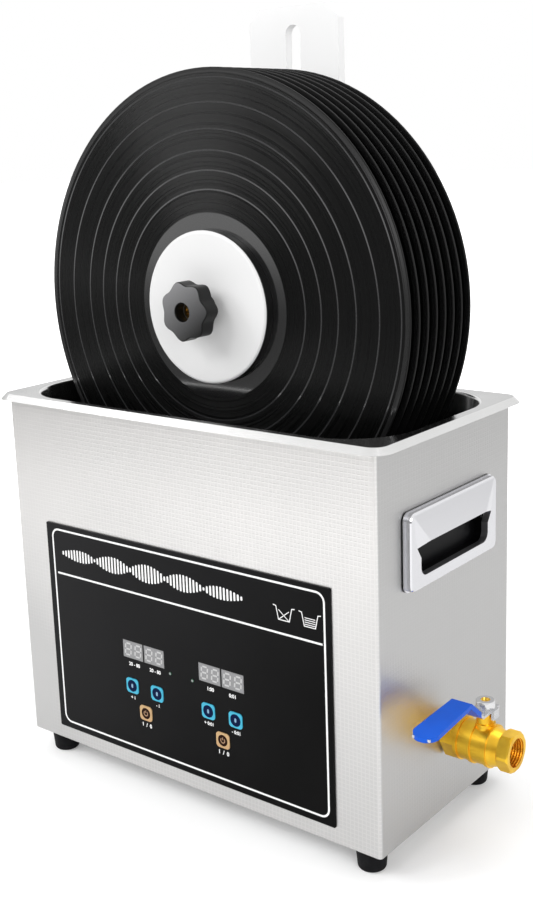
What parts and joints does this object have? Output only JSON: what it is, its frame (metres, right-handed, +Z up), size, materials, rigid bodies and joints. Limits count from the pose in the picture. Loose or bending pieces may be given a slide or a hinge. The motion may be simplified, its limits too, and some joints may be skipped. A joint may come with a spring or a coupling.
{
  "type": "record cleaning machine",
  "caption": "Ultrasonic record cleaner: steel bath in a casing with control panel, handles and ball valve, and a slotted lift plate carrying a motor-driven spindle of records.",
  "frame": {"origin": "on the bench, under the middle of the whole machine's footprint", "axes": "+X to the right seen from the front panel, +Y to the back, +Z up"},
  "size_m": [0.368, 0.2092, 0.5336],
  "materials": {
    "drawn_stainless": "fine satin on the lip, duller in the bath",
    "embossed_stainless": "stainless sheet embossed with a fine square grid",
    "plain_stainless": "plain mill finish",
    "black_rubber": "matt",
    "zinc_steel": "bright zinc plate",
    "panel_black": "printed polyester facing, satin",
    "display_smoke": "smoked window over unlit segments",
    "circuit_board": "green solder mask",
    "cyan_key": "printed key cap",
    "tan_key": "printed key cap",
    "handle_chrome": "bright chromium plate",
    "pocket_black": "moulded, satin",
    "silicone_hose": "translucent silicone",
    "valve_brass": "turned and tumbled brass",
    "seat_plastic": "white PTFE",
    "chromed_ball": "polished chromium plate",
    "blue_vinyl": "dipped vinyl",
    "cast_aluminium": "turned",
    "piezo_ceramic": "fired ceramic with silvered faces",
    "silicone_heater": "moulded silicone sheet",
    "black_plastic": "moulded, lightly textured",
    "gloss_black": "polished moulding",
    "white_plastic": "machined white sheet, smooth",
    "knob_black": "moulded, satin",
    "record_vinyl": "pressed vinyl with fine grooves",
    "seal_rubber": "soft grey silicone"
  },
  "bodies": {
    "machine": {"tank": "drawn_stainless", "outer_casing": "embossed_stainless", "bottom_plate": "plain_stainless", "rubber_feet": "black_rubber", "machine_screws": "zinc_steel", "front_panel": "panel_black", "temperature_display": "display_smoke", "timer_display": "display_smoke", "control_board": "circuit_board", "handle_frame_left": "handle_chrome", "handle_frame_right": "handle_chrome", "handle_pocket_left": "pocket_black", "handle_pocket_right": "pocket_black", "drain_hose": "silicone_hose", "hose_clamps": "zinc_steel", "drain_nipple": "valve_brass", "nipple_locknut": "valve_brass", "valve_adapter": "valve_brass", "valve_body": "valve_brass", "valve_seats": "seat_plastic", "transducer_horns": "cast_aluminium", "transducer_piezos": "piezo_ceramic", "transducer_back_masses": "zinc_steel", "heater_pads": "silicone_heater", "generator_board": "circuit_board", "fan_frame": "black_plastic", "mains_inlet": "black_plastic", "switch_body": "black_plastic", "lift_plate": "white_plastic", "rim_hook": "white_plastic"},
    "drain_handle": {"valve_lever": "zinc_steel", "lever_sleeve": "blue_vinyl", "lever_nut": "chromed_ball", "valve_stem": "valve_brass", "valve_ball": "chromed_ball"},
    "rocker": {"switch_rocker": "gloss_black"},
    "fan": {"fan_rotor": "black_plastic"},
    "hook_knob": {"hook_clamp_knob": "knob_black"},
    "carriage": {"slide_block": "white_plastic", "motor_box": "black_plastic", "motor_cover": "black_plastic", "gear_motor": "zinc_steel", "low_voltage_socket": "gloss_black"},
    "lock_knob": {"carriage_lock_knob": "knob_black"},
    "record_stack": {"motor_shaft": "zinc_steel", "spindle": "zinc_steel", "rear_disc": "white_plastic", "records": "record_vinyl", "record_spacers": "white_plastic", "label_seals": "seal_rubber", "front_disc": "white_plastic"},
    "clamp_knob": {"star_knob": "knob_black", "knob_insert": "valve_brass"},
    "temp_up_button_body": {"temp_up_button": "cyan_key"},
    "temp_down_button_body": {"temp_down_button": "cyan_key"},
    "heater_button_body": {"heater_button": "tan_key"},
    "time_up_button_body": {"time_up_button": "cyan_key"},
    "time_down_button_body": {"time_down_button": "cyan_key"},
    "ultrasonic_button_body": {"ultrasonic_button": "tan_key"}
  },
  "joints": [
    {"name": "temp_up_press", "type": "slide", "parent": "machine", "child": "temp_up_button_body", "axis": [0, 1, 0], "range_m": [0, 0.0006], "stiffness_N_per_m": 2000},
    {"name": "temp_down_press", "type": "slide", "parent": "machine", "child": "temp_down_button_body", "axis": [0, 1, 0], "range_m": [0, 0.0006], "stiffness_N_per_m": 2000},
    {"name": "heater_press", "type": "slide", "parent": "machine", "child": "heater_button_body", "axis": [0, 1, 0], "range_m": [0, 0.0006], "stiffness_N_per_m": 2000},
    {"name": "time_up_press", "type": "slide", "parent": "machine", "child": "time_up_button_body", "axis": [0, 1, 0], "range_m": [0, 0.0006], "stiffness_N_per_m": 2000},
    {"name": "time_down_press", "type": "slide", "parent": "machine", "child": "time_down_button_body", "axis": [0, 1, 0], "range_m": [0, 0.0006], "stiffness_N_per_m": 2000},
    {"name": "ultrasonic_press", "type": "slide", "parent": "machine", "child": "ultrasonic_button_body", "axis": [0, 1, 0], "range_m": [0, 0.0006], "stiffness_N_per_m": 2000},
    {"name": "drain_lever_turn", "type": "hinge", "parent": "machine", "child": "drain_handle", "pos_m": [0.16205, -0.0166, 0.0933], "axis": [0, 0, 1], "range_deg": [0, 90]},
    {"name": "power_rocker_tip", "type": "hinge", "parent": "machine", "child": "rocker", "pos_m": [-0.07995, 0.0624, 0.052], "axis": [1, 0, 0], "range_deg": [0, 18]},
    {"name": "fan_spin", "type": "hinge", "parent": "machine", "child": "fan", "pos_m": [0.01505, 0.0534, 0.068], "axis": [0, 1, 0], "continuous": true},
    {"name": "hook_knob_turn", "type": "hinge", "parent": "machine", "child": "hook_knob", "pos_m": [-0.01995, 0.0794, 0.256], "axis": [0, 1, 0], "range_deg": [0, 720]},
    {"name": "carriage_lift", "type": "slide", "parent": "machine", "child": "carriage", "axis": [0, 0, 1], "range_m": [-0.02, 0.12]},
    {"name": "lock_knob_turn", "type": "hinge", "parent": "carriage", "child": "lock_knob", "pos_m": [-0.01995, 0.0674, 0.3865], "axis": [0, 1, 0], "range_deg": [0, 720]},
    {"name": "record_spin", "type": "hinge", "parent": "carriage", "child": "record_stack", "pos_m": [-0.01995, -0.0166, 0.3405], "axis": [0, 1, 0], "continuous": true},
    {"name": "star_knob_turn", "type": "hinge", "parent": "record_stack", "child": "clamp_knob", "pos_m": [-0.01995, -0.0666, 0.3405], "axis": [0, 1, 0], "range_deg": [0, 720]}
  ]
}
